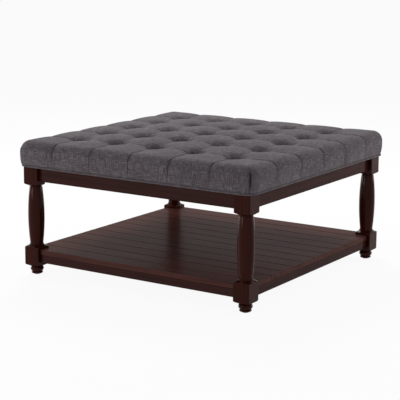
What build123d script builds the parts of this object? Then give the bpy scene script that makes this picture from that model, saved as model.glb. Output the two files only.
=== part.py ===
"""Square ottoman coffee table: a button-tufted cushion on a turned frame with a planked shelf.

Millimetres, +Z up. The origin is on the floor below the middle of the table. The front is -Y.
The planks of the shelf run along X.
"""
from build123d import *
import math
import os

os.makedirs("parts", exist_ok=True)

# Table over all
leg_span = 920.0  # over the outer faces of the leg blocks, along X and along Y
leg_block = 60.0  # side of the square blocks of a leg
block_ease = 1.5
overrun = 5.0  # how far a cutter runs past the face it cuts
hair = 0.05  # running gap between hard pieces that are pushed together
leg_sides = 20  # flat sides that stand for the round of the turned legs
small_sides = 6  # sides that stand for the round of screws, bolts, dowels and their holes
disc_sides = 12  # the same for the buttons, the glides and the tufts they sit in
arc_chords = 3  # chords along a small round of the turning

# Turned leg, heights from the floor up
glide_height = 3.0
foot_height = 25.0
lower_block_height = 78.0
collar_height = 4.0
baluster_height = 203.0
neck_height = 3.0
upper_block_height = 70.0

# Turned leg, radii and small heights of its turning
foot_ring_radius = 17.5
foot_ring_height = 7.0
foot_ring_bulge = 2.6
foot_bead_low_radius = 18.0
foot_bead_high_radius = 19.5
foot_bead_height = 16.5
foot_bead_bulge = 4.6
foot_bead_chords = 5
collar_edge_radius = 24.2
collar_bulge = 1.3
baluster_end_radius = 22.5
baluster_belly_radius = 28.8
baluster_chords = 6
neck_radius = 20.5
shoulder_rise = 7.0  # sloping part of a block's turned end
shoulder_corner = 8.0  # rounded part of it, up to the full block
cap_rise = 5.0  # the same two on top of the lower block, where it is flatter
cap_corner = 7.0
blank_margin = 1.0  # the turning stands this far outside the corners of the blocks

# Apron under the cushion
apron_height = 51.0
apron_thickness = 20.0
apron_setback = 14.0  # from the block's face back to the apron's face
apron_ease = 1.5

# Corner braces and what holds them
brace_thickness = 20.0
brace_height = 44.0
brace_gap = 0.3
leg_chamfer = 16.0
hanger_radius = 4.0
hanger_in_leg = 34.0
hanger_past_nut = 6.0
thread_clearance = 0.1
bolt_clearance = 0.5
washer_radius = 10.0
washer_thickness = 2.0
nut_radius = 7.5
nut_height = 6.5
screw_radius = 2.0
screw_head_radius = 4.0
screw_head_height = 2.5
screw_clearance = 0.3
brace_screw_length = 22.0
brace_screw_offset = 13.0
brace_pocket = 4.0
deck_screw_length = 42.0
deck_screw_pocket = 12.0
deck_screw_spacing = 36.0

# Dowels
dowel_radius = 4.0
dowel_length = 30.0
dowel_clearance = 0.1
dowel_end_gap = 0.8
apron_dowel_spacing = 24.0

# Shelf
shelf_clearance = 46.0  # floor to the underside of the shelf's rails
rail_height = 28.0
rail_thickness = 20.0
rail_ease = 1.2
plank_count = 12
plank_thickness = 18.0
plank_gap = 0.4
plank_groove = 2.2  # ease of the long upper edges; two of them make a groove
plank_ease = 1.2
notch_clearance = 0.3
batten_width = 40.0
batten_thickness = 18.0
batten_offset = 150.0
batten_gap = 0.2

# Cushion
deck_overhang = 4.0  # from the leg block's face out to the edge of the deck
deck_thickness = 15.0
deck_corner = 30.0
cushion_height = 104.0  # crown above the frame
crown_rise = 15.6  # middle of the top above its edge
crown_step = 0.4  # the crown starts this far above the rolled edge
edge_roll = 42.0
edge_flat = 6.0  # level band between the roll and the crown
side_bulge = 13.5  # widest part of the side, out from the deck
side_drawn_in = 7.0  # how far the side comes back in at the welt
side_straight = 10.0  # upright part of the side just below the roll
cushion_corner = 44.0
padding_height = 39.0  # top of the foam below the crown, which leaves room for the tufts
foam_bevel = 26.0
soft_gap = 0.3
cover_skirt = 2.0
welt_radius = 2.6
dust_cover_thickness = 0.8
dust_cover_margin = 1.0
waist_share = 0.25  # of the drawing-in, reached half way down the side

# Tufting
tuft_count = 5  # each way
tuft_depth = 22.0
tuft_floor_radius = 15.5
tuft_wall_radius = 29.0  # where the steep wall turns into the gentle rim
tuft_wall_depth = 6.0
tuft_rim_radius = 53.0  # where the rim is clear of the untufted top
tuft_rim_rise = 7.2
valley_depth = 6.0  # dips from tuft to tuft
valley_width = 32.0
valley_inset = 22.0  # each dip starts this far from a tuft's middle, inside its wall
pleat_depth = 3.2
pleat_width = 2.6
corner_slit_depth = 9.0
corner_slit_width = 1.8
button_base_radius = 12.5
button_radius = 14.0
button_edge = 2.5
button_dome = 3.5
button_crown_radius = 8.5

# Foot glides
glide_radius = 11.0
glide_pin_radius = 1.5
glide_pin_length = 12.0

# Levels
z_block = glide_height + foot_height
z_collar = z_block + lower_block_height
z_baluster = z_collar + collar_height
z_neck = z_baluster + baluster_height
z_upper = z_neck + neck_height
z_frame = z_upper + upper_block_height
z_apron = z_frame - apron_height
z_brace = z_frame - brace_height
z_hanger = z_frame - brace_height / 2
z_rail = shelf_clearance
z_plank = z_rail + rail_height
z_shelf = z_plank + plank_thickness
z_batten = z_plank - batten_thickness
z_deck = z_frame + deck_thickness
z_foam = z_frame + cushion_height - padding_height
z_welt = z_frame + soft_gap + welt_radius
z_seam = z_welt + welt_radius + soft_gap
z_crown = z_frame + cushion_height
z_edge = z_crown - crown_rise
z_roll = z_edge - edge_roll
z_side = z_roll - side_straight

# Places in plan
half_span = leg_span / 2
leg_centre = half_span - leg_block / 2
block_inner = half_span - leg_block
frame_face = half_span - apron_setback
apron_inner = frame_face - apron_thickness
apron_middle = frame_face - apron_thickness / 2
rail_inner = frame_face - rail_thickness
rail_middle = frame_face - rail_thickness / 2
deck_half = half_span + deck_overhang
cover_inner = deck_half + soft_gap
skirt_half = cover_inner + cover_skirt
welt_half = skirt_half + soft_gap + welt_radius
cushion_half = deck_half + side_bulge
roll_half = cushion_half - edge_roll
top_half = roll_half - edge_flat
z_spring = z_edge + crown_step
crown_radius = (top_half ** 2 + (z_crown - z_spring) ** 2) / (2 * (z_crown - z_spring))
chamfer_line = 2 * block_inner + leg_chamfer  # x + y along the flat on a leg's inner corner
brace_outer = chamfer_line - brace_gap * math.sqrt(2)
brace_inner = brace_outer - brace_thickness * math.sqrt(2)
tuft_pitch = 2 * cushion_half / (tuft_count + 1)
tuft_places = [(i - (tuft_count - 1) / 2) * tuft_pitch for i in range(tuft_count)]
corner_turns = {"back_right": 0, "back_left": 1, "front_left": 2, "front_right": 3}
side_turns = {"right": 0, "back": 1, "left": 2, "front": 3}
diagonal = Vector(1, 1, 0).normalized()
across = Vector(1, -1, 0).normalized()


def quarter(shape, turns):
    """The shape turned about the middle of the table by quarter turns."""
    return Rot(0, 0, 360 * turns / 4) * shape


def slab(x, y, z):
    """A box between pairs of limits."""
    size = [b - a for a, b in (x, y, z)]
    middle = [(a + b) / 2 for a, b in (x, y, z)]
    return Pos(*middle) * Box(*size)


def rod(radius, start, direction, length, sides=small_sides):
    return extrude(Plane(origin=start, z_dir=direction) * RegularPolygon(radius, sides), amount=length)


def turned(outline, sides):
    """A turning about Z from its points (radius, height), as a body with that many flat sides.

    The outline starts and ends on the axis. Each pair of opposite sides is one extrusion of it, right across.
    """
    full = list(dict.fromkeys([*outline, *((-r, z) for r, z in reversed(outline))]))
    reach = 2 * max(r for r, z in outline)
    across = extrude(Plane.XZ.offset(-reach) * make_face(Polyline(*full, close=True)), amount=2 * reach)
    body = across
    for k in range(1, sides // 2):
        body &= Rot(0, 0, 360 * k / sides) * across
    return body


def prism(points, low, high):
    """A polygon in plan, from one height to another."""
    outline = Plane.XY.offset(low) * make_face(Polyline(*points, close=True))
    return extrude(outline, amount=high - low)


def rounded_slab(half, corner, low, high):
    outline = Plane.XY.offset(low) * RectangleRounded(2 * half, 2 * half, corner)
    return extrude(outline, amount=high - low)


def save(name, *shapes):
    """Writes one node; alike small pieces are kept together as separate solids."""
    solids = [solid for shape in shapes for solid in shape.solids()]
    whole = solids[0] if len(solids) == 1 else Compound(children=solids)
    whole.label = name
    export_step(whole, f"parts/{name}.step")


def screw(start, direction, length):
    """Flat-topped screw: the underside of the head is at the start."""
    run = Vector(*direction).normalized()
    top = Vector(*start) - run * screw_head_height
    return rod(screw_head_radius, top, run, screw_head_height) + rod(screw_radius, start, run, length)


def screw_room(start, direction, length, pocket):
    """Room for that screw, with its head in a pocket."""
    run = Vector(*direction).normalized()
    back = Vector(*start) - run * (pocket + overrun)
    wide = rod(screw_head_radius + screw_clearance, back, run, pocket + overrun)
    return wide + rod(screw_radius + screw_clearance, start, run, length + screw_clearance)


def dowel(middle, direction, grow=0.0, gap=0.0):
    """A dowel about its middle, or the hole for it."""
    run = Vector(*direction)
    half = dowel_length / 2 + gap
    return rod(dowel_radius + grow, Vector(*middle) - run * half, run, 2 * half)


# Dowels of one apron end and one rail end, in the corner at +X +Y; each is on a piece that runs along X
apron_dowel_heights = [z_apron + apron_height / 2 + k * apron_dowel_spacing / 2 for k in (-1, 1)]
end_dowels = [(block_inner, apron_middle, z) for z in apron_dowel_heights]
end_dowels.append((block_inner, rail_middle, z_rail + rail_height / 2))
other_dowels = [(y, x, z) for x, y, z in end_dowels]
along_x, along_y = (1, 0, 0), (0, 1, 0)


def dowel_holes():
    holes = [dowel(p, along_x, dowel_clearance, dowel_end_gap) for p in end_dowels]
    return holes + [dowel(p, along_y, dowel_clearance, dowel_end_gap) for p in other_dowels]


# Legs: a turning cut square, so the ends of the blocks get their curved shoulders
block_reach = leg_block / math.sqrt(2) + blank_margin
quarter_bow = 1 - math.sqrt(0.5)  # share of a quarter round's radius that its middle stands off the chord


def bow(start, end, bulge, chords=arc_chords):
    """Points after the start along a circular arc in (radius, height), its middle moved out by the bulge."""
    (r0, z0), (r1, z1) = start, end
    chord = math.hypot(r1 - r0, z1 - z0)
    reach = math.atan2(2 * bulge, chord)  # quarter of the arc's angle
    radius = chord / 2 / math.sin(2 * reach)
    lean = math.atan2(z1 - z0, r1 - r0)
    points = []
    for k in range(1, chords + 1):
        turn = 4 * reach * k / chords
        length = 2 * radius * math.sin(turn / 2)
        way = lean - 2 * reach + turn / 2
        points.append((r0 + length * math.cos(way), z0 + length * math.sin(way)))
    return points


def shoulder(radius, level):
    """Turned lower end of a block: a slope and a quarter round up to the full block."""
    slope_end = (block_reach - shoulder_corner, level + shoulder_rise)
    full = (block_reach, level + shoulder_rise + shoulder_corner)
    return [(radius, level), slope_end, *bow(slope_end, full, shoulder_corner * quarter_bow)]


def leg_outline():
    """Radius against height, from the foot to the top."""
    ring_low, ring_top = (foot_ring_radius, glide_height), (foot_ring_radius, glide_height + foot_ring_height)
    bead_low, bead_top = (foot_bead_low_radius, z_block - foot_bead_height), (foot_bead_high_radius, z_block)
    cap_low, cap_top = (block_reach, z_collar - cap_rise - cap_corner), (block_reach - cap_corner, z_collar - cap_rise)
    collar_low, collar_top = (collar_edge_radius, z_collar), (collar_edge_radius, z_baluster)
    belly_low, belly_top = (baluster_end_radius, z_baluster), (baluster_end_radius, z_neck)
    return [
        (0, glide_height), ring_low, *bow(ring_low, ring_top, foot_ring_bulge),
        bead_low, *bow(bead_low, bead_top, foot_bead_bulge, foot_bead_chords),
        *shoulder(foot_bead_high_radius, z_block),
        cap_low, *bow(cap_low, cap_top, cap_corner * quarter_bow),
        collar_low, *bow(collar_low, collar_top, collar_bulge),
        belly_low, *bow(belly_low, belly_top, baluster_belly_radius - baluster_end_radius, baluster_chords),
        (neck_radius, z_neck), *shoulder(neck_radius, z_upper),
        (block_reach, z_frame), (0, z_frame),
    ]


def leg():
    """The leg of the corner at +X +Y."""
    turning = turned(leg_outline(), leg_sides)
    square = RectangleRounded(leg_block, leg_block, block_ease)
    blank = extrude(square, amount=z_frame)
    body = Pos(leg_centre, leg_centre, 0) * (turning & blank)
    low, high = block_inner - overrun, block_inner + leg_chamfer + overrun
    flat = prism([(low, low), (high, low), (low, high)], z_upper - overrun, z_frame + overrun)
    hanger = rod(hanger_radius + thread_clearance, diagonal * (chamfer_line / math.sqrt(2)) + Vector(0, 0, z_hanger),
                 diagonal, hanger_in_leg + dowel_end_gap)
    pin = rod(glide_pin_radius + thread_clearance, (leg_centre, leg_centre, 0), (0, 0, 1),
              glide_height + glide_pin_length + dowel_end_gap)
    return body - [flat, hanger, pin, *dowel_holes()]


def brace():
    """Corner brace, its faces square to the diagonal and its ends on the aprons."""
    far, near = brace_outer - apron_inner, brace_inner - apron_inner
    body = prism([(apron_inner, far), (far, apron_inner), (near, apron_inner), (apron_inner, near)],
                 z_brace, z_frame)
    start = diagonal * (brace_inner / math.sqrt(2) - overrun) + Vector(0, 0, z_hanger)
    hole = rod(hanger_radius + bolt_clearance, start, diagonal, brace_thickness + 2 * overrun)
    return body - [hole, *brace_screws(True), *deck_screws(True)]


def brace_screws(room=False):
    """Screws from one brace into its two aprons."""
    made = []
    side = brace_inner - apron_inner + brace_screw_offset
    start = brace_inner - side + brace_pocket
    for point, run in (((start, side, z_hanger), along_x), ((side, start, z_hanger), along_y)):
        if room:
            made.append(screw_room(point, run, brace_screw_length, brace_pocket))
        else:
            made.append(screw(point, run, brace_screw_length))
    return made


def deck_screws(room=False):
    """Screws up through one brace into the deck."""
    made = []
    middle = diagonal * ((brace_outer + brace_inner) / 2 / math.sqrt(2))
    for k in (-1, 1):
        point = middle + across * (k * deck_screw_spacing / 2) + Vector(0, 0, z_brace + deck_screw_pocket)
        if room:
            made.append(screw_room(point, (0, 0, 1), deck_screw_length, deck_screw_pocket))
        else:
            made.append(screw(point, (0, 0, 1), deck_screw_length))
    return made


# Hanger bolt with its washer and nut, along the diagonal, counted inwards from the flat on the leg
washer_at = brace_gap + brace_thickness + hair + washer_thickness
nut_at = washer_at + hair + nut_height
flat_point = diagonal * (chamfer_line / math.sqrt(2)) + Vector(0, 0, z_hanger)


def hanger_bolt():
    inward = nut_at + hanger_past_nut
    return rod(hanger_radius, flat_point - diagonal * inward, diagonal, inward + hanger_in_leg)


def washer():
    plane = Plane(origin=flat_point - diagonal * washer_at, z_dir=diagonal)
    ring = RegularPolygon(washer_radius, disc_sides) - RegularPolygon(hanger_radius + bolt_clearance, small_sides)
    return extrude(plane * ring, amount=washer_thickness)


def nut():
    plane = Plane(origin=flat_point - diagonal * nut_at, z_dir=diagonal)
    ring = RegularPolygon(nut_radius, small_sides) - RegularPolygon(hanger_radius + thread_clearance, small_sides)
    return extrude(plane * ring, amount=nut_height)


def glide():
    """Nail-on glide under a foot."""
    centre, up = (leg_centre, leg_centre, 0), (0, 0, 1)
    pad = rod(glide_radius, centre, up, glide_height - hair, disc_sides)
    return pad + rod(glide_pin_radius, centre, up, glide_height + glide_pin_length)


def board(inner, outer, low, high, ease_low, ease_high):
    """A board along Y on the +X side, between the leg blocks, with its outer long edges eased."""
    points = [(inner, low), (outer - ease_low, low), (outer, low + ease_low),
              (outer, high - ease_high), (outer - ease_high, high), (inner, high)]
    face = Plane.XZ.offset(-block_inner) * make_face(Polyline(*dict.fromkeys(points), close=True))
    return extrude(face, amount=2 * block_inner)


def both_ends(pieces):
    """The pieces and their mirror images at the other end of a board along Y."""
    return [*pieces, *(mirror(p, Plane.XZ) for p in pieces)]


def apron():
    body = board(apron_inner, frame_face, z_apron, z_frame, apron_ease, 0.0)
    return body - both_ends([*dowel_holes(), *brace_screws(True)])


def rail():
    body = board(rail_inner, frame_face, z_rail, z_plank, rail_ease, rail_ease)
    return body - both_ends(dowel_holes())


# Shelf
plank_width = (2 * frame_face - (plank_count - 1) * plank_gap) / plank_count
plank_starts = [-frame_face + i * (plank_width + plank_gap) for i in range(plank_count)]


def plank(index):
    """A board along X; grooves between boards, and notches where a leg block comes through."""
    low, high = plank_starts[index], plank_starts[index] + plank_width
    first, last = index == 0, index == plank_count - 1
    top_low, top_high = (plank_ease if first else plank_groove), (plank_ease if last else plank_groove)
    bottom_low, bottom_high = (plank_ease if first else 0.0), (plank_ease if last else 0.0)
    points = [(low + bottom_low, z_plank), (high - bottom_high, z_plank), (high, z_plank + bottom_high),
              (high, z_shelf - top_high), (high - top_high, z_shelf), (low + top_low, z_shelf),
              (low, z_shelf - top_low), (low, z_plank + bottom_low)]
    face = Plane.YZ.offset(-frame_face) * make_face(Polyline(*dict.fromkeys(points), close=True))
    body = extrude(face, amount=2 * frame_face)
    ends = body.edges().filter_by(Axis.Y).filter_by_position(Axis.Z, z_plank - hair, z_plank + hair)
    body = chamfer(ends, plank_ease)
    if first or last:
        reach = block_inner - notch_clearance
        sign = -1 if first else 1
        y = sorted((sign * reach, sign * (half_span + overrun)))
        for x in ((reach, half_span + overrun), (-half_span - overrun, -reach)):
            body -= slab(x, y, (z_plank - overrun, z_shelf + overrun))
    return body


def batten(sign):
    middle = sign * batten_offset
    return slab((middle - batten_width / 2, middle + batten_width / 2),
                (batten_gap - rail_inner, rail_inner - batten_gap), (z_batten, z_plank - hair))


# Cushion
def crown_height(x, y):
    """Height of the untufted top over a place in plan."""
    away = max(abs(x), abs(y))
    return z_crown - crown_radius + math.sqrt(crown_radius ** 2 - away ** 2)


def crown():
    """The crowned top: two crossed vaults."""
    low = z_edge - overrun
    edges = [
        ThreePointArc((-top_half, z_spring), (0, z_crown), (top_half, z_spring)),
        Polyline((top_half, z_spring), (top_half, low), (-top_half, low), (-top_half, z_spring)),
    ]
    vault = extrude(Plane.XZ.offset(-top_half) * make_face(edges), amount=2 * top_half)
    return vault & quarter(vault, 1)


def dimple():
    """Cutter for one tuft, its zero at the untufted top."""
    return turned([(0, -tuft_depth), (tuft_floor_radius, -tuft_depth), (tuft_wall_radius, -tuft_wall_depth),
                   (tuft_rim_radius, tuft_rim_rise), (0, tuft_rim_rise)], disc_sides)


def valley(a, b):
    """Cutter for the dip between two neighbouring tufts, given their places on the untufted top."""
    run = Vector(*b) - Vector(*a)
    ahead = run.normalized()
    plane = Plane(origin=Vector(*a) + ahead * valley_inset, x_dir=Vector(0, 0, 1).cross(ahead), z_dir=ahead)
    wedge = Polyline((0, -valley_depth), (valley_width, valley_depth), (-valley_width, valley_depth), close=True)
    return extrude(plane * make_face(wedge), amount=run.length - 2 * valley_inset)


def pleat(place):
    """Cutter for the fold from an outer tuft over the +X side and down to the welt."""
    inner_roll = edge_roll - pleat_depth
    first = (tuft_places[-1], crown_height(tuft_places[-1], 0) - pleat_depth)
    start = (roll_half, z_edge - pleat_depth)
    middle = (roll_half + inner_roll * math.sqrt(0.5), z_roll + inner_roll * math.sqrt(0.5))
    waist = (cushion_half - side_drawn_in / 4 - pleat_depth, (z_roll + z_seam) / 2)
    bottom = (cushion_half - side_drawn_in - pleat_depth, z_seam)
    out, under, over = cushion_half + overrun, z_seam - overrun, z_crown + overrun
    edges = [
        Line(first, start),
        ThreePointArc(start, middle, (cushion_half - pleat_depth, z_roll)),
        ThreePointArc((cushion_half - pleat_depth, z_roll), waist, bottom),
        Polyline(bottom, (bottom[0], under), (out, under), (out, over), (first[0], over), first),
    ]
    face = Plane.XZ.offset(-place - pleat_width / 2) * make_face(edges)
    return extrude(face, amount=pleat_width)


def corner_slit():
    """Cutter for the folded cloth on the corner at +X +Y."""
    reach = (cushion_half - cushion_corner) * math.sqrt(2) + cushion_corner
    block = slab((reach - corner_slit_depth, reach + overrun), (-corner_slit_width / 2, corner_slit_width / 2),
                 (z_seam - overrun, z_edge))
    return Rot(0, 0, 360 / 8) * block


def cushion_side():
    """Drawn-in sides below a rolled edge."""
    waist = z_seam + (z_side - z_seam) / 2
    taper_low = math.degrees(math.atan2(side_drawn_in * (1 - waist_share), waist - z_seam))
    taper_high = math.degrees(math.atan2(side_drawn_in * waist_share, z_side - waist))
    upper = Plane.XY.offset(z_side) * RectangleRounded(2 * cushion_half, 2 * cushion_half, cushion_corner)
    waist_half, waist_corner = (v - side_drawn_in * waist_share for v in (cushion_half, cushion_corner))
    lower = Plane.XY.offset(waist) * RectangleRounded(2 * waist_half, 2 * waist_half, waist_corner)
    rolled = rounded_slab(cushion_half, cushion_corner, z_side, z_edge)
    rolled = fillet(rolled.faces().sort_by(Axis.Z)[-1].edges(), edge_roll)
    side = extrude(upper, amount=waist - z_side, taper=taper_high) + extrude(lower, amount=z_seam - waist, taper=taper_low)
    return side + rolled


def cavity(clear):
    """The room that deck and foam take in the cover, or the foam itself."""
    form = rounded_slab(deck_half + clear, deck_corner + clear, z_frame - overrun, z_foam + clear)
    return chamfer(form.faces().sort_by(Axis.Z)[-1].edges(), foam_bevel)


tuft_tops = {(x, y): (x, y, crown_height(x, y)) for x in tuft_places for y in tuft_places}
tuft_floors = [(x, y, z - tuft_depth) for x, y, z in tuft_tops.values()]
one_dimple = dimple()
dimples = [Pos(*top) * one_dimple for top in tuft_tops.values()]
valleys = []
for a, b in zip(tuft_places, tuft_places[1:]):
    for c in tuft_places:
        valleys += [valley(tuft_tops[a, c], tuft_tops[b, c]), valley(tuft_tops[c, a], tuft_tops[c, b])]
folds = [quarter(cutter, turns) for turns in range(4)
         for cutter in (corner_slit(), *(pleat(place) for place in tuft_places))]
skirt = rounded_slab(skirt_half, deck_corner + soft_gap + cover_skirt, z_frame + hair, z_seam + overrun)
cover = cushion_side() + skirt + crown() - cavity(soft_gap)
for cutters in (dimples, valleys, folds):
    cover -= cutters
save("cushion_cover", cover)

foam = cavity(-soft_gap) - slab((-leg_span, leg_span), (-leg_span, leg_span),
                                (z_frame - 2 * overrun, z_deck + soft_gap))
save("foam_core", foam)

welt_path = Plane.XY.offset(z_welt) * RectangleRounded(2 * welt_half, 2 * welt_half, deck_corner + welt_radius)
welt_start = Plane(origin=(welt_half, 0, z_welt), z_dir=(0, 1, 0))
save("welt", sweep(welt_start * RegularPolygon(welt_radius, small_sides), path=welt_path.wire()))


top = button_edge + button_dome
one_button = turned([(0, 0), (button_base_radius, 0), (button_radius, button_edge), (button_crown_radius, top),
                     (0, top)], disc_sides)


def button(place):
    """Cloth-covered button in the floor of a tuft."""
    x, y, floor = place
    return Pos(x, y, floor + soft_gap) * one_button


save("tuft_buttons", *map(button, tuft_floors))

all_deck_screws = [quarter(s, turns) for turns in range(4) for s in deck_screws()]
deck_screw_rooms = [quarter(s, turns) for turns in range(4) for s in deck_screws(True)]
deck = rounded_slab(deck_half, deck_corner, z_frame, z_deck)
save("deck_board", deck - deck_screw_rooms)

edge, cut = apron_inner - dust_cover_margin, brace_inner - 2 * dust_cover_margin
eighth = [(edge, edge - cut), (edge, cut - edge), (cut - edge, edge), (edge - cut, edge)]
octagon = eighth + [(-x, -y) for x, y in eighth]
save("dust_cover", prism(octagon, z_frame - dust_cover_thickness, z_frame))

# Frame
one_leg, one_brace, one_apron, one_rail = leg(), brace(), apron(), rail()
for name, turns in corner_turns.items():
    save(f"leg_{name}", quarter(one_leg, turns))
    save(f"corner_brace_{name}", quarter(one_brace, turns))
for name, turns in side_turns.items():
    save(f"apron_{name}", quarter(one_apron, turns))
    save(f"shelf_rail_{name}", quarter(one_rail, turns))
save("deck_screws", *all_deck_screws)
for name, pieces in {
    "hanger_bolts": [hanger_bolt()],
    "hanger_washers": [washer()],
    "hanger_nuts": [nut()],
    "brace_screws": brace_screws(),
    "apron_dowels": [dowel(p, along_x) for p in end_dowels[:-1]] + [dowel(p, along_y) for p in other_dowels[:-1]],
    "rail_dowels": [dowel(end_dowels[-1], along_x), dowel(other_dowels[-1], along_y)],
    "foot_glides": [glide()],
}.items():
    save(name, *(quarter(piece, turns) for turns in range(4) for piece in pieces))

# Shelf pieces
for index in range(plank_count):
    save(f"shelf_plank_{index + 1:02d}", plank(index))
save("shelf_batten_left", batten(-1))
save("shelf_batten_right", batten(1))
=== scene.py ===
"""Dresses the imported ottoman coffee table: cloth, turned legs, wood finishes, floor, lights and camera.

Metres, +Z up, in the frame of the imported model.
"""

import math

import bmesh
import bpy
from mathutils import Matrix, Vector, noise


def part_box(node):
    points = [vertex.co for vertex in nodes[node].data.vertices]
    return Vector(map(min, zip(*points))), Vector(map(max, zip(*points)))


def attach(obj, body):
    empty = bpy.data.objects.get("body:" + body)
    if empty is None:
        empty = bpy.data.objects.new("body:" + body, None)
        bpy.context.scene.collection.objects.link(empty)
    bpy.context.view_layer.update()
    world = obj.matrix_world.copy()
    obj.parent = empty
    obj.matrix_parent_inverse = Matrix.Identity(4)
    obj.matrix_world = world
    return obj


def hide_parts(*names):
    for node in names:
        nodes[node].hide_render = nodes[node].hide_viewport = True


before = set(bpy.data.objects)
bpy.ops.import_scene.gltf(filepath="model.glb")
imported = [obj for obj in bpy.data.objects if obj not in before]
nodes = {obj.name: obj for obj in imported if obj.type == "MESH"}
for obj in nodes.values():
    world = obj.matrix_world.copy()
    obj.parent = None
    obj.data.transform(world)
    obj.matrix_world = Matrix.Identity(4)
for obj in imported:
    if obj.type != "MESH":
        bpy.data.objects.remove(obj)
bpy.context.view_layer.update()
MM = 0.001

# Camera, fitted to the edges of the table in the photograph, whose upright edges stay parallel
CAMERA_YAW = 33.091
CAMERA_PITCH = 9.876
CAMERA_ROLL = -0.310
CAMERA_FOCAL = 1337.8  # in pixels of the photograph
CAMERA_RISE = 40  # pixels from the middle of the photograph up to the camera's axis
PHOTO_SIZE = 400
CAMERA_AWAY = 4.7166
CAMERA_RIGHT = -0.0221
CAMERA_HEIGHT = 1.2088
SENSOR = 36.0
FARTHEST_SEEN = 100

# CAD boxes that the cloth is fitted to
_, cover_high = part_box("cushion_cover")
button_low, button_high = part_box("tuft_buttons")
welt_low, welt_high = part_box("welt")
deck_low, deck_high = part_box("deck_board")
_, foam_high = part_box("foam_core")

# Cushion: a crowned top, rolled over at its edge, with sides drawn in towards the piping
CROWN_RISE = 11.5 * MM
CROWN_POWER = 2.4  # above 2, the crown is flatter in the middle
EDGE_ROLL = 38 * MM
EDGE_Z = cover_high.z - CROWN_RISE
ROLL_Z = EDGE_Z - EDGE_ROLL
TOP_HALF = cover_high.x - EDGE_ROLL
ROLL_STEPS = 14
SIDE_STEPS = 16
DRAWN_IN = 5.5 * MM
DRAWN_FROM = 0.25  # share of the way down the side at which it starts to draw in
SIDE_BULGE = 1.2 * MM

# Piping, and the lower edge of the cover behind it
WELT_RADIUS = 3.4 * MM
WELT_PROUD = 3.2 * MM  # how far the visible piping stands out past the plain one
WELT_CORNER = 34 * MM
WELT_SIDES = 12
SEAM_Z = welt_low.z + 2 * WELT_RADIUS + 0.3 * MM
SEAM_LEDGE = 2 * MM  # how far the cloth's edge stands out past the skirt below it
SEAM_LEDGE_DROP = 0.2 * MM
SKIRT_DROP = 2.4 * MM
SKIRT_GAP = 2.2 * MM

# Hollow of the cover, which holds the deck and the foam
HOLLOW_GAP = 0.5 * MM
FOAM_BEVEL = 26 * MM
FOAM_CORNER_CUT = 2.2 * MM  # the foam's corners are rounder than the cover's

# Tufts: a level bottom under the button, and a wall round it that curves over to the full height
TUFTS = 5
BUTTON_RADIUS = 14 * MM
TUFT_REACH = (button_high.x - button_low.x) / 2 - BUTTON_RADIUS
PITCH = 2 * TUFT_REACH / (TUFTS - 1)
TUFT_PLACES = [(i - (TUFTS - 1) / 2) * PITCH for i in range(TUFTS)]
TUFT_DEPTH = 33 * MM
TUFT_LOWEST = foam_high.z + 1.6 * MM  # the cloth stays above the foam
TUFT_FLOOR = 22 * MM
TUFT_WALL = 40 * MM
TUFT_WALL_VARIES = 0.06  # share by which the wall's width changes round a tuft
TUFT_ROUND = 0.56
PUCKER_HEIGHT = 0.5 * MM
PUCKER_PLACE = 44 * MM  # from the middle of the tuft
PUCKER_WIDTH = 14 * MM
PUCKERS = ((5, 9, 1.0), (9, 17, 0.7))  # count round a tuft, turn by the tuft's number, share of the height
TUFT_NUMBER = (13.7, 7.9)  # gives each tuft its own number, from its place
WALL_TURN = 3  # how much that number changes the wall

# Valleys between tufts and pleats from the outer tufts down the sides, each with a crease in its bottom
VALLEY_DEPTH = 6.5 * MM
VALLEY_SHARPNESS = 0.85
PLEAT_DEPTH = 7.0 * MM  # at the top of the side
PLEAT_FOOT_DEPTH = 1.6 * MM  # at the piping
PLEAT_FADE = 0.7  # below 1, a pleat loses most of its depth near the top
PLEAT_SHARPNESS = 0.30
CREASE_DEPTH = 2.6 * MM
CREASE_WIDTH = 2.0 * MM
CREASE_BETWEEN_TUFTS = 0.3  # share of its depth in a valley
SIDE_CREASE = 3.0 * MM
LIP_HEIGHT = 3.0 * MM  # the lapped edge of a pleat, beside its crease
LIP_OFFSET = 5 * MM
LIP_WIDTH = 2.8 * MM
RIPPLE = 0.6 * MM
TOP_RIPPLES = 26  # to the metre
SIDE_RIPPLES = (22, 30)

# Corners: a slit up from the piping, with the cloth of one side lapped over the other
CORNER_SHARES = (0.08, 0.17, 0.26, 0.34, 0.40, 0.44, 0.465, 0.48, 0.49)  # of the turn, up to its middle
SLIT_DEPTH = 12 * MM
SLIT_WIDTH = 3.4 * MM
SLIT_TOP = ROLL_Z + 24 * MM
SLIT_FADE = 16 * MM  # length over which the laps run out at the top, the slit itself over half of it
SLIT_FOOT_SHARE = 0.2  # of its depth, where the deck's corner is close behind
SLIT_FOOT_FADE = 20 * MM
UNDER_LAP = 2.4 * MM
UNDER_LAP_WIDTH = 9 * MM
OVER_LAP = 3.4 * MM
OVER_LAP_OFFSET = 7 * MM
OVER_LAP_WIDTH = 6 * MM

# Layers of the smooth noise, each for one surface
WALL_LAYER = 2.0
DUST_LAYER = 4.0
TOP_LAYER = 5.0
SIDE_LAYER = 9.0

# Offsets from a line of tufts at which the cloth gets grid lines, as shares of half the pitch
LINE_SHARES = (
    0.0, 0.012, 0.026, 0.045, 0.08, 0.12, 0.16, 0.20, 0.23, 0.255, 0.28,
    0.305, 0.33, 0.36, 0.40, 0.44, 0.49, 0.55, 0.63, 0.73, 0.84, 0.95,
)
EDGE_LINES_START = 30 * MM  # beyond the last tufts, where the lines' spacing follows the way to the edge

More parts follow.
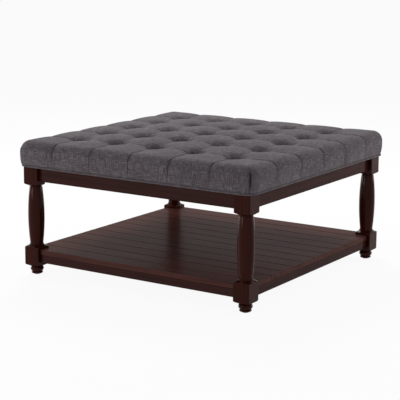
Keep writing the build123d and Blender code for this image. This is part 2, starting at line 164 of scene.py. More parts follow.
# Buttons: (radius, height) up the edge, then turns over the dome
BUTTON_EDGE = ((12.2 * MM, 0.0), (13.6 * MM, 0.8 * MM), (BUTTON_RADIUS, 2.2 * MM))
BUTTON_DOME = (0.25, 0.5, 0.75, 1.0, 1.25, 1.45)
BUTTON_RISE = 6.0 * MM
BUTTON_SIDES = 28
BUTTON_GAP = 0.3 * MM

# Legs: each curve of the turning in millimetres, its start and end as (radius, height), bulge and chords
LEG_BLOCK = 60 * MM
BLOCK_EASE = 1.8 * MM
BLANK = LEG_BLOCK / MM / math.sqrt(2) + 1  # radius of the blank that the squares are cut from
QUARTER = 1 - math.sqrt(0.5)  # share of a quarter round's radius that its middle stands off the chord
FOOT_RING = ((17.5, 3), (17.5, 10), 2.6, 10)
FOOT_BEAD = ((18, 11.5), (19.5, 28), 4.6, 14)
LOWER_SHOULDER = ((BLANK - 8, 35), (BLANK, 43), 8 * QUARTER, 8)
LOWER_CAP = ((BLANK, 94), (BLANK - 7, 101), 7 * QUARTER, 8)
COLLAR = ((24.2, 106), (24.2, 110), 1.3, 8)
BALUSTER = ((22.5, 110), (22.5, 313), 6.3, 40)
UPPER_SHOULDER = ((BLANK - 8, 323), (BLANK, 331), 8 * QUARTER, 8)
NECK = ((20.5, 313), (20.5, 316))
LOWER_BLOCK_LEVELS = (60, 80)
UPPER_BLOCK_LEVELS = (350, 370, 386)
EIGHTH_TURNS = (0, 6, 12, 18, 24, 30, 35, 39, 41, 42, 42.6, 43.2, 43.8, 44.4)  # degrees from a face on
BRACE_FLAT = (LEG_BLOCK - 16 * MM) / math.sqrt(2)  # from the leg's middle to the flat for its brace
BRACE_FLAT_FOOT = 317 * MM
BRACE_FLAT_FACING = 0.5  # cosine of the widest angle from the way inward that the flat is cut at
SHARP_ANGLE = 32

# Dust cover
DUST_CUT = 360.3 * MM  # half the length of its straight edges, between the cut corners
DUST_RINGS = 10
DUST_SAG = 1.5 * MM
DUST_RIPPLE = 0.4 * MM
DUST_RIPPLES = 9
DUST_THICKNESS = 0.4 * MM

# Colours, darkest and lightest
STAIN = ((0.023, 0.0054, 0.0041), (0.046, 0.0120, 0.0094))
LEG_STAIN = ((0.0225, 0.0029, 0.0012), (0.043, 0.0070, 0.0034))
SHELF_STAIN = ((0.050, 0.0160, 0.0126), (0.095, 0.0360, 0.0292))
BARE_WOOD = ((0.30, 0.19, 0.10), (0.52, 0.37, 0.22))
ZINC = ((0.42, 0.42, 0.40), (0.60, 0.60, 0.57))
FOAM = ((0.62, 0.55, 0.38), (0.80, 0.74, 0.55))
DUST_CLOTH = ((0.010, 0.010, 0.012), (0.028, 0.028, 0.031))
GLIDE = ((0.020, 0.018, 0.018), (0.032, 0.030, 0.030))
LINEN_TONES = (
    (0.0, (0.052, 0.043, 0.049)),
    (1.0, (0.36, 0.322, 0.335)),
    (0.30, (0.088, 0.074, 0.083)),
    (0.60, (0.156, 0.133, 0.145)),
)
WHITE = (1, 1, 1, 1)
FLOOR_GREY = (0.9, 0.9, 0.9, 1)

# Patterns: their scales, to the metre, their shares of the tone, and the range of tone that the colours span
SLUBS = (600, 32)  # across and along the thread
THREADS = (1500, 90)
CLOUDS = (9, 9)
THREADS_SHARE = 0.55
CLOUDS_SHARE = 0.12
LINEN_RANGE = (0.74, 1.14)
FIGURE = (5, 95)  # along and across the grain
PORES = (22, 900)
PORES_SHARE = 0.22
PIECE_SHARE = 0.16
TREE_SPREAD = (7.3, 5.1, 9.7)  # how far apart in the tree the pieces are cut
WOOD_RANGE = (0.40, 0.88)
MOTTLE_RANGE = (0.35, 0.65)

# Stage: floor and surroundings, and each lamp's name, place, target, size and power
FLOOR_SIZE = 80
FLOOR_GLOW = 0.93  # share of its own white that the floor shows, the rest keeps the shadow
SURROUNDINGS_LIGHT = 0.34
SURROUNDINGS_SEEN = 1.0
LAMPS = (
    ("key", (-1.7, 1.9, 3.1), (0, 0, 0.4), (1.6, 1.6), 80),
    ("side", (3.2, 0.4, 1.7), (0, 0, 0.25), (2.0, 2.0), 9),
    ("strip_left", (-2.6, -0.15, 0.58), (0, 0, 0.4), (1.0, 1.1), 24),
    ("strip_right", (1.7, 2.5, 0.62), (0, 0, 0.3), (0.5, 1.1), 25),
    ("front", (-1.8, -3.4, 0.62), (0, 0, 0.4), (1.6, 1.1), 28),
)


# Materials
def material(name):
    """A new node material: itself, its nodes, its links and its shader."""
    made = bpy.data.materials.new(name)
    made.use_nodes = True
    return made, made.node_tree.nodes, made.node_tree.links, made.node_tree.nodes["Principled BSDF"]


def ramp(tree, stops):
    """A colour ramp from (place, colour) pairs, the first two its ends."""
    made = tree.new("ShaderNodeValToRGB")
    elements = made.color_ramp.elements
    for index, (place, colour) in enumerate(stops):
        element = elements[index] if index < 2 else elements.new(place)
        element.position = place
        element.color = (*colour, 1)
    return made


def streaks(tree, links, coordinates, scale, detail):
    """Noise stretched by a scale along each axis."""
    mapping = tree.new("ShaderNodeMapping")
    mapping.inputs["Scale"].default_value = scale
    links.new(coordinates, mapping.inputs["Vector"])
    made = tree.new("ShaderNodeTexNoise")
    made.inputs["Scale"].default_value = 1.0
    made.inputs["Detail"].default_value = detail
    links.new(mapping.outputs["Vector"], made.inputs["Vector"])
    return made.outputs["Fac"]


def maths(tree, links, operation, *values):
    """A Math node on sockets or numbers."""
    made = tree.new("ShaderNodeMath")
    made.operation = operation
    for index, value in enumerate(values):
        if isinstance(value, (int, float)):
            made.inputs[index].default_value = value
        else:
            links.new(value, made.inputs[index])
    return made.outputs[0]


def bump(tree, links, height, distance, shader, strength=1.0):
    """Bump of a height socket on a shader."""
    made = tree.new("ShaderNodeBump")
    made.inputs["Strength"].default_value = strength
    made.inputs["Distance"].default_value = distance
    links.new(height, made.inputs["Height"])
    links.new(made.outputs["Normal"], shader.inputs["Normal"])


def linen():
    """Dark grey linen: slubs both ways over a plain weave, on the cloth's own coordinates."""
    made, tree, links, shader = material("linen")
    cloth = tree.new("ShaderNodeTexCoord").outputs["UV"]
    warp = streaks(tree, links, cloth, (*SLUBS, 1), 3.0)
    weft = streaks(tree, links, cloth, (*reversed(SLUBS), 1), 3.0)
    warp_fine = streaks(tree, links, cloth, (*THREADS, 1), 2.0)
    weft_fine = streaks(tree, links, cloth, (*reversed(THREADS), 1), 2.0)
    cloud = streaks(tree, links, cloth, (*CLOUDS, 1), 2.0)
    slub = maths(tree, links, "MAXIMUM", warp, weft)
    fine = maths(tree, links, "MAXIMUM", warp_fine, weft_fine)
    mixed = maths(tree, links, "MULTIPLY_ADD", fine, THREADS_SHARE, slub)
    mixed = maths(tree, links, "MULTIPLY_ADD", cloud, CLOUDS_SHARE, mixed)
    spread = tree.new("ShaderNodeMapRange")
    spread.inputs["From Min"].default_value = LINEN_RANGE[0]
    spread.inputs["From Max"].default_value = LINEN_RANGE[1]
    colours = ramp(tree, LINEN_TONES)
    links.new(mixed, spread.inputs["Value"])
    links.new(spread.outputs["Result"], colours.inputs["Fac"])
    links.new(colours.outputs["Color"], shader.inputs["Base Color"])
    shader.inputs["Roughness"].default_value = 0.95
    shader.inputs["Specular IOR Level"].default_value = 0.08
    shader.inputs["Sheen Weight"].default_value = 0.10
    shader.inputs["Sheen Roughness"].default_value = 0.5
    bump(tree, links, mixed, 0.5 * MM, shader, 0.6)
    return made


def wood(name, grain, tones, roughness, coat=0.0, coat_ior=1.5, coat_roughness=0.12):
    """Wood with its grain along one axis of the table, each piece cut from another place of the tree.

    The gloss is in the coat alone, so that the white surroundings don't wash out the dark stain.
    """
    made, tree, links, shader = material(name)
    coordinates = tree.new("ShaderNodeTexCoord").outputs["Object"]
    piece = tree.new("ShaderNodeObjectInfo").outputs["Random"]
    shift = tree.new("ShaderNodeVectorMath")
    shift.operation = "MULTIPLY_ADD"
    shift.inputs[1].default_value = TREE_SPREAD
    links.new(piece, shift.inputs[0])
    links.new(coordinates, shift.inputs[2])
    figure_scale, pore_scale = ([along if axis == grain else across for axis in "XYZ"]
                                for along, across in (FIGURE, PORES))
    figure = streaks(tree, links, shift.outputs[0], figure_scale, 5.0)
    pore = streaks(tree, links, shift.outputs[0], pore_scale, 2.0)
    tone = maths(tree, links, "MULTIPLY_ADD", piece, PIECE_SHARE, figure)
    tone = maths(tree, links, "MULTIPLY_ADD", pore, PORES_SHARE, tone)
    colours = ramp(tree, zip(WOOD_RANGE, tones))
    links.new(tone, colours.inputs["Fac"])
    links.new(colours.outputs["Color"], shader.inputs["Base Color"])
    shader.inputs["Roughness"].default_value = roughness
    shader.inputs["Specular IOR Level"].default_value = 0.0
    shader.inputs["Coat Weight"].default_value = coat
    shader.inputs["Coat Roughness"].default_value = coat_roughness
    shader.inputs["Coat IOR"].default_value = coat_ior
    bump(tree, links, pore, 0.12 * MM, shader, 0.5)
    return made


def plain(name, tones, size, roughness, metallic=0.0, depth=0.2 * MM):
    """A finish with a fine mottle of two colours and a slight bump."""
    made, tree, links, shader = material(name)
    coordinates = tree.new("ShaderNodeTexCoord").outputs["Object"]
    mottle = streaks(tree, links, coordinates, (size, size, size), 4.0)
    colours = ramp(tree, zip(MOTTLE_RANGE, tones))
    links.new(mottle, colours.inputs["Fac"])
    links.new(colours.outputs["Color"], shader.inputs["Base Color"])
    shader.inputs["Roughness"].default_value = roughness
    shader.inputs["Metallic"].default_value = metallic
    bump(tree, links, mottle, depth, shader)
    return made


cloth_finish = linen()
stained = {axis: wood(f"stained_wood_{axis.lower()}", axis, STAIN, 0.34, 0.20) for axis in "XY"}
planks = wood("stained_wood_shelf", "X", SHELF_STAIN, 0.45, 0.15, 1.5, 0.24)
turned = wood("stained_wood_turned", "Z", LEG_STAIN, 0.34, 1.0, 1.16, 0.10)
bare = {axis: wood(f"plain_wood_{axis.lower()}", axis, BARE_WOOD, 0.62) for axis in "XY"}
steel = plain("zinc_steel", ZINC, 300, 0.38, 1.0, 0.05 * MM)
foam_finish = plain("foam", FOAM, 420, 0.95, 0.0, 1 * MM)
felt = plain("dust_cloth", DUST_CLOTH, 900, 0.95, 0.0, 0.3 * MM)
glide_finish = plain("glide_plastic", GLIDE, 200, 0.55)

# The finish of a CAD node is the first whose words its name starts with
CAD_FINISHES = (
    ("apron_dowels", bare["X"]), ("apron_front", stained["X"]), ("apron_back", stained["X"]),
    ("apron", stained["Y"]), ("rail_dowels", bare["X"]), ("shelf_rail_front", stained["X"]),
    ("shelf_rail_back", stained["X"]), ("shelf_rail", stained["Y"]), ("shelf_plank", planks),
    ("shelf_batten", bare["Y"]), ("corner_brace", bare["X"]), ("deck_board", bare["X"]),
    ("foam_core", foam_finish), ("foot_glides", glide_finish), ("dust_cover", felt), ("leg", turned),
    ("cushion", cloth_finish), ("welt", cloth_finish), ("tuft", cloth_finish), ("", steel),
)


def finish_cad_nodes():
    """Gives each CAD node one material."""
    for name, piece in nodes.items():
        finish = next(finish for start, finish in CAD_FINISHES if name.startswith(start))
        if not piece.material_slots:
            piece.data.materials.append(finish)
        for slot in piece.material_slots:
            slot.material = finish


# Pieces
def new_piece(name, points, faces, finish, cloth=None):
    """A mesh object that rides on the table, with each point's place on flat cloth where it has one."""
    mesh = bpy.data.meshes.new(name)
    mesh.from_pydata(points, [], faces)
    mesh.materials.append(finish)
    for face in mesh.polygons:
        face.use_smooth = True
    if cloth:
        layer = mesh.uv_layers.new(name="cloth")
        for loop in mesh.loops:
            layer.data[loop.index].uv = cloth[loop.vertex_index]
    piece = bpy.data.objects.new(name, mesh)
    bpy.context.scene.collection.objects.link(piece)
    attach(piece, "root")
    return piece


def clamp(value, low=0.0, high=1.0):
    """The value, kept between two limits."""
    return min(high, max(low, value))


def bell(value):
    """From 1 at zero down to 0 far from it."""
    return math.exp(-value ** 2)


def wave(*place):
    """Smooth noise from -1 to 1."""
    return noise.noise(Vector(place))


# Cushion cover
def near_line(value):
    """Distance to the nearest line of tufts, and that line's place."""
    place = min(TUFT_PLACES, key=lambda p: abs(value - p))
    return abs(value - place), place


def swell(distance):
    """From 0 on a line of tufts to 1 half way to the next."""
    return math.sin(math.pi / 2 * min(1.0, distance / (PITCH / 2)))


def fold(distance, sharpness, fullness=1.0):
    """How far the cloth dips at a distance from a line, from 1 on it to 0 half way to the next."""
    return 1 - (swell(distance) * fullness) ** sharpness


def top_height(x, y):
    """Height of the tufted top over a place in plan."""
    crown = CROWN_RISE * (1 - abs(x / TOP_HALF) ** CROWN_POWER) * (1 - abs(y / TOP_HALF) ** CROWN_POWER)
    dx, line_x = near_line(x)
    dy, line_y = near_line(y)
    away = math.hypot(dx, dy)
    angle = math.atan2(y - line_y, x - line_x)
    number = line_x * TUFT_NUMBER[0] + line_y * TUFT_NUMBER[1]
    pucker = sum(share * math.sin(count * angle + turn * number) for count, turn, share in PUCKERS)
    pucker *= PUCKER_HEIGHT * bell((away - PUCKER_PLACE) / PUCKER_WIDTH)
    wall = TUFT_WALL * (1 + TUFT_WALL_VARIES * wave(angle, number * WALL_TURN, WALL_LAYER))
    climb = clamp((away - TUFT_FLOOR) / wall)
    tuft = 1 - (1 - (1 - climb) ** 2) ** TUFT_ROUND
    tuft_depth = min(TUFT_DEPTH, EDGE_Z + crown - TUFT_LOWEST)
    beyond = max(0.0, (max(abs(x), abs(y)) - TUFT_REACH) / (TOP_HALF - TUFT_REACH))
    sharpness = VALLEY_SHARPNESS + (PLEAT_SHARPNESS - VALLEY_SHARPNESS) * beyond ** 2
    valley_depth = VALLEY_DEPTH + (PLEAT_DEPTH - VALLEY_DEPTH) * beyond
    valley = valley_depth * fold(dx, sharpness, swell(dy))
    line = min(dx, dy)
    if beyond:
        line = dy if abs(x) > abs(y) else dx
    crease = CREASE_DEPTH * bell(line / CREASE_WIDTH)
    crease *= CREASE_BETWEEN_TUFTS + (1 - CREASE_BETWEEN_TUFTS) * beyond
    ripple = RIPPLE * wave(x * TOP_RIPPLES, y * TOP_RIPPLES, TOP_LAYER) * (1 - beyond)
    return EDGE_Z + crown - tuft_depth * tuft + pucker + (ripple - valley - crease) * (1 - tuft)


def cloth_lines():
    """Grid lines across the cloth, close together at the lines of tufts."""
    half = PITCH / 2
    edge = TOP_HALF - TUFT_REACH
    lines = set()
    for sign in (-1, 1):
        for share in LINE_SHARES:
            lines.update(place + sign * share * half for place in TUFT_PLACES)
    lines = {v for v in lines if abs(v) < TUFT_REACH + EDGE_LINES_START}
    for share in (*LINE_SHARES, 1.0):
        if share * edge > EDGE_LINES_START:
            lines.update((TUFT_REACH + share * edge, -TUFT_REACH - share * edge))
    return sorted({round(v, 6) for v in lines})


def side_profile():
    """Down the roll and the side to the seam: reach past the top's edge, height, normal out and up."""
    steps = []
    for k in range(1, ROLL_STEPS + 1):
        turn = math.pi / 2 * k / ROLL_STEPS
        out, up = math.sin(turn), math.cos(turn)
        steps.append((EDGE_ROLL * out, ROLL_Z + EDGE_ROLL * up, out, up))
    for k in range(1, SIDE_STEPS + 1):
        share = k / SIDE_STEPS
        drawn = DRAWN_IN * max(0.0, (share - DRAWN_FROM) / (1 - DRAWN_FROM)) ** 2
        steps.append((EDGE_ROLL - drawn, ROLL_Z - (ROLL_Z - SEAM_Z) * share, 1, 0))
    return steps


def corner_relief(share, level):
    """How far the cloth of a corner stands out of its plain form, at a share of its turn."""
    off = (share - 0.5) * EDGE_ROLL * math.pi / 2
    fade = clamp((SLIT_TOP - level) / SLIT_FADE)
    above_deck = clamp((level - deck_high.z) / SLIT_FOOT_FADE, SLIT_FOOT_SHARE)
    slit = SLIT_DEPTH * above_deck * bell(off / SLIT_WIDTH) * min(1.0, 2 * fade)
    if off < 0:
        return -slit - UNDER_LAP * math.exp(off / UNDER_LAP_WIDTH) * fade
    return OVER_LAP * bell((off - OVER_LAP_OFFSET) / OVER_LAP_WIDTH) * fade - slit


def side_relief(place, level, lap):
    """How far the cloth of a side stands out of its plain form, at a place along it."""
    down = clamp((EDGE_Z - level) / (EDGE_Z - SEAM_Z))
    middle = math.sin(math.pi * down)
    distance, line = near_line(place)
    sign = lap if place >= line else -lap
    depth = PLEAT_DEPTH + (PLEAT_FOOT_DEPTH - PLEAT_DEPTH) * down ** PLEAT_FADE
    groove = depth * fold(distance, PLEAT_SHARPNESS)
    crease = SIDE_CREASE * bell(distance / CREASE_WIDTH) * (1 - down ** 2)
    lip = LIP_HEIGHT * bell((sign * distance - LIP_OFFSET) / LIP_WIDTH)
    ripple = RIPPLE * wave(place * SIDE_RIPPLES[0], level * SIDE_RIPPLES[1], SIDE_LAYER)
    return (SIDE_BULGE * swell(distance) + lip + ripple) * middle - groove - crease


def relief(x, y, way, share, level):
    """How far the cloth below a point of the top's edge stands out of its plain form."""
    if share is not None:
        return corner_relief(share, level)
    return side_relief(y * way[0] - x * way[1], level, 1 if way[0] == 0 else -1)


def cushion_rim(count):
    """The edge of the top's grid: (point, way outward, share of the corner's turn or None on a side)."""
    last = count - 1
    sides = (
        ([(i, 0) for i in range(count)], (0, -1)),
        ([(last, j) for j in range(count)], (1, 0)),
        ([(last - i, last) for i in range(count)], (0, 1)),
        ([(0, last - j) for j in range(count)], (-1, 0)),
    )
    corner = (*CORNER_SHARES, 0.5, *(1 - share for share in reversed(CORNER_SHARES)))
    rim = []
    for (cells, out), (_, following) in zip(sides, sides[1:] + sides[:1]):
        rim += [(j * count + i, out, None) for i, j in cells]
        i, j = cells[-1]
        for share in corner:
            turn = share * math.pi / 2
            way = tuple(a * math.cos(turn) + b * math.sin(turn) for a, b in zip(out, following))
            rim.append((j * count + i, way, share))
    return rim


def cushion_cover():
    """The cover: tufted top, rolled edge, drawn-in sides, a skirt round the deck, and the hollow inside."""
    lines = cloth_lines()
    count = len(lines)
    points = [(x, y, top_height(x, y)) for y in lines for x in lines]
    cloth = [(x, y) for x, y, _ in points]
    faces = []
    for j in range(count - 1):
        for i in range(count - 1):
            first = j * count + i
            faces.append((first, first + 1, first + 1 + count, first + count))
    rim = cushion_rim(count)
    row = [start for start, _, _ in rim]

    def ring(reaches, levels, run):
        """A row of points round the cushion, joined to the last, at a run of cloth past the top's edge."""
        nonlocal row
        new_row = []
        for (start, way, _), reach, level in zip(rim, reaches, levels):
            x, y, _ = points[start]
            new_row.append(len(points))
            points.append((x + way[0] * reach, y + way[1] * reach, level))
            cloth.append((x + way[0] * run, y + way[1] * run))
        for k in range(len(rim)):
            n = (k + 1) % len(rim)
            corners = list(dict.fromkeys([row[k], new_row[k], new_row[n], row[n]]))
            if len(corners) > 2:
                faces.append(tuple(corners))
        row = new_row

    def plain_ring(reach, level, folded=0.0, corner_cut=0.0):
        """A row with no folds, its corners cut rounder."""
        reaches = [reach - corner_cut * math.sin(math.pi * (share or 0.0)) for _, _, share in rim]
        ring(reaches, [level] * len(rim), folded + reach + EDGE_Z - level)

    for reach, level, out, up in side_profile():
        proud = [relief(*points[start][:2], way, share, level) for start, way, share in rim]
        ring([reach + p * out for p in proud], [level + p * up for p in proud], reach + EDGE_Z - level)
    skirt = deck_high.x + SKIRT_GAP - TOP_HALF
    inner = deck_high.x + HOLLOW_GAP - TOP_HALF
    folded = skirt - inner
    plain_ring(skirt + SEAM_LEDGE, SEAM_Z - SEAM_LEDGE_DROP)
    plain_ring(skirt, SEAM_Z - SKIRT_DROP)
    plain_ring(skirt, deck_low.z + HOLLOW_GAP)
    plain_ring(inner, deck_low.z + HOLLOW_GAP, folded)
    plain_ring(inner, deck_high.z + HOLLOW_GAP, folded, FOAM_CORNER_CUT)
    plain_ring(inner, foam_high.z - FOAM_BEVEL, folded, FOAM_CORNER_CUT)
    plain_ring(HOLLOW_GAP, foam_high.z + HOLLOW_GAP, folded)
    faces.append(tuple(reversed(row)))
    piece = new_piece("cushion_cloth", points, faces, cloth_finish, cloth)
    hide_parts("cushion_cover")


def rounded_square(half, corner, z, side_steps=60, corner_steps=14):
    """Points round a square with rounded corners."""
    path = []
    for quarter in range(4):
        turn = quarter * math.pi / 2
        c, s = math.cos(turn), math.sin(turn)
        for k in range(side_steps):
            x, y = half, -(half - corner) + 2 * (half - corner) * k / side_steps
            path.append((x * c - y * s, x * s + y * c, z))
        for k in range(corner_steps):
            a = math.pi / 2 * k / corner_steps
            x, y = half - corner + corner * math.cos(a), half - corner + corner * math.sin(a)
            path.append((x * c - y * s, x * s + y * c, z))
    return path


def welt():
    """Cloth-covered piping along the lower edge of the cover, a closed tube in a level plane."""
    half = welt_high.x - WELT_RADIUS + WELT_PROUD
    path = rounded_square(half, WELT_CORNER, welt_low.z + WELT_RADIUS)
    points, faces, cloth = [], [], []
    count = len(path)
    run = 0.0
    for k, (x, y, z) in enumerate(path):
        before, after = Vector(path[k - 1]), Vector(path[(k + 1) % count])
        side = (after - before).normalized().cross(Vector((0, 0, 1)))
        if k:
            run += (Vector(path[k]) - before).length
        for s in range(WELT_SIDES):
            turn = 2 * math.pi * s / WELT_SIDES
            reach = side * (WELT_RADIUS * math.cos(turn))
            points.append((x + reach.x, y + reach.y, z + WELT_RADIUS * math.sin(turn)))
            cloth.append((run, WELT_RADIUS * turn))
    for k in range(count):
        n = (k + 1) % count
        for s in range(WELT_SIDES):
            t = (s + 1) % WELT_SIDES
            faces.append((k * WELT_SIDES + s, n * WELT_SIDES + s, n * WELT_SIDES + t, k * WELT_SIDES + t))
    piece = new_piece("welt_piping", points, faces, cloth_finish, cloth)
    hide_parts("welt")


def stacked_faces(rows, steps):
    """Faces between rows of points that go round an upright axis, with both ends closed."""
    faces = []
    for k in range(rows - 1):
        for s in range(steps):
            t = (s + 1) % steps
            faces.append((k * steps + s, k * steps + t, (k + 1) * steps + t, (k + 1) * steps + s))
    faces.append(tuple(reversed(range(steps))))
    faces.append(tuple((rows - 1) * steps + s for s in range(steps)))
    return faces


def buttons():
    """Domed buttons covered in the same cloth, sitting in the tufts."""
    edge_rise = BUTTON_EDGE[-1][1]
    profile = list(BUTTON_EDGE)
    for turn in BUTTON_DOME:
        height = edge_rise + (BUTTON_RISE - edge_rise) * math.sin(turn)
        profile.append((BUTTON_RADIUS * math.cos(turn), height))
    turns = [2 * math.pi * s / BUTTON_SIDES for s in range(BUTTON_SIDES)]
    one_points = [(radius * math.cos(a), radius * math.sin(a), z) for radius, z in profile for a in turns]
    one_faces = stacked_faces(len(profile), BUTTON_SIDES)
    points, faces = [], []
    for x in TUFT_PLACES:
        for y in TUFT_PLACES:
            base = len(points)
            floor = top_height(x, y) + BUTTON_GAP
            points += [(x + px, y + py, floor + pz) for px, py, pz in one_points]
            faces += [tuple(base + v for v in face) for face in one_faces]
    cloth = [(x, y) for x, y, _ in points]
    piece = new_piece("tuft_buttons_cloth", points, faces, cloth_finish, cloth)
    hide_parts("tuft_buttons")


# Turned legs
def bow(start, end, bulge, chords):
    """Points from start to end along an arc in (radius, height), its middle moved out by the bulge."""
    (r0, z0), (r1, z1) = start, end
    chord = math.hypot(r1 - r0, z1 - z0)
    reach = math.atan2(2 * bulge, chord)  # quarter of the arc's angle
    radius = chord / 2 / math.sin(2 * reach)
    lean = math.atan2(z1 - z0, r1 - r0)
    points = [start]
    for k in range(1, chords + 1):
        turn = 4 * reach * k / chords
        length = 2 * radius * math.sin(turn / 2)
        way = lean - 2 * reach + turn / 2
        points.append((r0 + length * math.cos(way), z0 + length * math.sin(way)))
    return points


def leg_profile():
    """Radius against height of the turning, as in the CAD legs but with full rounds."""
    outline = [
        *bow(*FOOT_RING), *bow(*FOOT_BEAD), *bow(*LOWER_SHOULDER), *((BLANK, z) for z in LOWER_BLOCK_LEVELS),
        *bow(*LOWER_CAP), *bow(*COLLAR), *bow(*BALUSTER), *NECK,
        *bow(*UPPER_SHOULDER), *((BLANK, z) for z in UPPER_BLOCK_LEVELS),
    ]
    return [(radius * MM, z * MM) for radius, z in outline]


def square_reach(turn):
    """Distance from the middle of a block to its face, with eased corners."""
    from_face = abs((turn + math.pi / 4) % (math.pi / 2) - math.pi / 4)
    flat = LEG_BLOCK / 2 / math.cos(from_face)
    ease_middle = math.sqrt(2) * (LEG_BLOCK / 2 - BLOCK_EASE)
    lean = math.pi / 4 - from_face
    under = BLOCK_EASE ** 2 - (ease_middle * math.sin(lean)) ** 2
    if under <= 0:
        return flat
    return min(flat, ease_middle * math.cos(lean) + math.sqrt(under))


def leg_turns():
    """Angles round a leg, close together at the eased corners of its blocks."""
    turns = []
    for face in (0, 90, 180, 270):
        turns += [face + v for v in EIGHTH_TURNS] + [face + 45]
        turns += [face + 90 - v for v in reversed(EIGHTH_TURNS[1:])]
    return [math.radians(v) for v in turns]


def leg(name, x, y):
    """One leg: the turning cut by the square of its blocks, and by the flat that its brace pulls against."""
    turns = leg_turns()
    inward = math.atan2(-y, -x)
    profile = leg_profile()
    points = []
    for radius, z in profile:
        for turn in turns:
            reach = min(radius, square_reach(turn))
            facing = math.cos(turn - inward)
            if z > BRACE_FLAT_FOOT and facing > BRACE_FLAT_FACING:
                reach = min(reach, BRACE_FLAT / facing)
            points.append((x + reach * math.cos(turn), y + reach * math.sin(turn), z))
    faces = stacked_faces(len(profile), len(turns))
    piece = new_piece(f"turned_{name}", points, faces, turned)
    sharpen(piece, SHARP_ANGLE)
    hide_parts(name)


def sharpen(piece, degrees):
    """Sharp edges where faces meet at more than an angle."""
    edit = bmesh.new()
    edit.from_mesh(piece.data)
    for edge in edit.edges:
        edge.smooth = len(edge.link_faces) == 2 and edge.calc_face_angle(0.0) < math.radians(degrees)
    edit.to_mesh(piece.data)
    edit.free()


def legs():
    """The four legs, each where its CAD node stands."""
    for name in ("leg_front_left", "leg_front_right", "leg_back_left", "leg_back_right"):
        low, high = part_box(name)
        leg(name, (low.x + high.x) / 2, (low.y + high.y) / 2)


# Dust cover
def dust_cover():
    """Black cloth stapled under the deck, with its corners cut at the braces, sagging a little."""
    low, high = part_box("dust_cover")
    outline = []
    for quarter in range(4):
        c, s = math.cos(quarter * math.pi / 2), math.sin(quarter * math.pi / 2)
        for share in (-1, -0.5, 0, 0.5, 1):
            x, y = high.x, share * DUST_CUT
            outline.append((x * c - y * s, x * s + y * c))
    level = (low.z + high.z) / 2
    points = [(0, 0, level - DUST_SAG)]
    faces = []
    count = len(outline)
    for k in range(1, DUST_RINGS + 1):
        share = k / DUST_RINGS
        sag = DUST_SAG * (1 - share ** 2)
        for x, y in outline:
            ripples = wave(x * share * DUST_RIPPLES, y * share * DUST_RIPPLES, DUST_LAYER)
            points.append((x * share, y * share, level - sag + DUST_RIPPLE * ripples * (1 - share)))
    for s in range(count):
        t = (s + 1) % count
        faces.append((0, 1 + t, 1 + s))
        for k in range(DUST_RINGS - 1):
            a, b = 1 + k * count, 1 + (k + 1) * count
            faces.append((a + s, a + t, b + t, b + s))
    piece = new_piece("dust_cloth_under_deck", points, faces, felt)
    thick = piece.modifiers.new("thickness", "SOLIDIFY")
    thick.thickness = DUST_THICKNESS
    thick.offset = 0
    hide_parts("dust_cover")


# Stage
def seen_ray(tree, links):
    """1 for rays that show the surroundings, straight, mirrored or through glass, and 0 for the others."""
    light_path = tree.new("ShaderNodeLightPath")
    camera_ray, glossy_ray, glass_ray = (light_path.outputs[f"Is {kind} Ray"]
                                         for kind in ("Camera", "Glossy", "Transmission"))
    seen = maths(tree, links, "MAXIMUM", camera_ray, glossy_ray)
    return maths(tree, links, "MAXIMUM", seen, glass_ray)


def backdrop():
    """White floor that keeps a soft shadow and fills the view."""
    bpy.ops.mesh.primitive_plane_add(size=FLOOR_SIZE)
    floor = bpy.context.object
    floor.name = "floor"
    made, tree, links, shader = material("floor_white")
    shader.inputs["Base Color"].default_value = FLOOR_GREY
    shader.inputs["Roughness"].default_value = 0.9
    glow = tree.new("ShaderNodeEmission")
    glow.inputs["Strength"].default_value = 1.0
    glow.inputs["Color"].default_value = WHITE
    mix = tree.new("ShaderNodeMixShader")
    share = maths(tree, links, "MULTIPLY", seen_ray(tree, links), FLOOR_GLOW)
    links.new(share, mix.inputs["Fac"])
    links.new(shader.outputs[0], mix.inputs[1])
    links.new(glow.outputs[0], mix.inputs[2])
    links.new(mix.outputs[0], tree["Material Output"].inputs["Surface"])
    floor.data.materials.append(made)


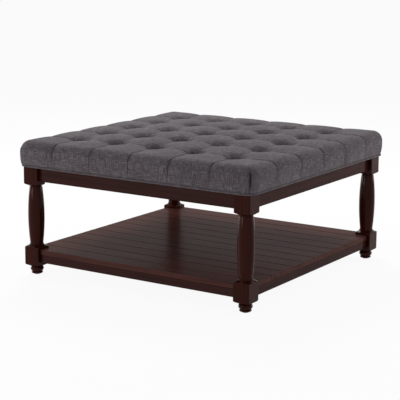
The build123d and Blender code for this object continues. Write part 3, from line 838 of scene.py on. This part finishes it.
def surroundings():
    """Soft white light from all sides, plain white where it is seen."""
    made = bpy.data.worlds.new("studio")
    bpy.context.scene.world = made
    made.use_nodes = True
    tree, links = made.node_tree.nodes, made.node_tree.links
    background = tree["Background"]
    extra = SURROUNDINGS_SEEN - SURROUNDINGS_LIGHT
    strength = maths(tree, links, "MULTIPLY_ADD", seen_ray(tree, links), extra, SURROUNDINGS_LIGHT)
    links.new(strength, background.inputs["Strength"])
    background.inputs["Color"].default_value = WHITE


def lamp(name, place, target, size, power):
    """A soft rectangular lamp turned towards its target."""
    data = bpy.data.lights.new(name, "AREA")
    data.shape = "RECTANGLE"
    data.size, data.size_y = size
    data.energy = power
    piece = bpy.data.objects.new(name, data)
    piece.location = place
    piece.rotation_euler = (Vector(target) - Vector(place)).to_track_quat("-Z", "Y").to_euler()
    bpy.context.scene.collection.objects.link(piece)


def camera():
    """Camera at the photograph's place and angle."""
    yaw, pitch, roll = (math.radians(v) for v in (CAMERA_YAW, CAMERA_PITCH, CAMERA_ROLL))
    right = Vector((math.cos(yaw), math.sin(yaw), 0))
    back_level = Vector((math.sin(yaw), -math.cos(yaw), 0))
    ahead = Vector((-math.sin(yaw) * math.cos(pitch), math.cos(yaw) * math.cos(pitch), -math.sin(pitch)))
    down = ahead.cross(right)
    right_rolled = right * math.cos(roll) + down * math.sin(roll)
    down_rolled = down * math.cos(roll) - right * math.sin(roll)
    place = back_level * CAMERA_AWAY + right * CAMERA_RIGHT + Vector((0, 0, CAMERA_HEIGHT))
    turned_to = Matrix((right_rolled, -down_rolled, -ahead)).transposed().to_4x4()
    data = bpy.data.cameras.new("camera")
    data.sensor_width = SENSOR
    data.lens = CAMERA_FOCAL / PHOTO_SIZE * SENSOR
    data.shift_y = -CAMERA_RISE / PHOTO_SIZE
    data.dof.use_dof = False
    data.clip_end = FARTHEST_SEEN
    piece = bpy.data.objects.new("camera", data)
    piece.matrix_world = Matrix.Translation(place) @ turned_to
    bpy.context.scene.collection.objects.link(piece)
    bpy.context.scene.camera = piece


camera()
finish_cad_nodes()
cushion_cover()
welt()
buttons()
legs()
dust_cover()
backdrop()
surroundings()
for row in LAMPS:
    lamp(*row)
bpy.context.scene.view_settings.view_transform = "Standard"
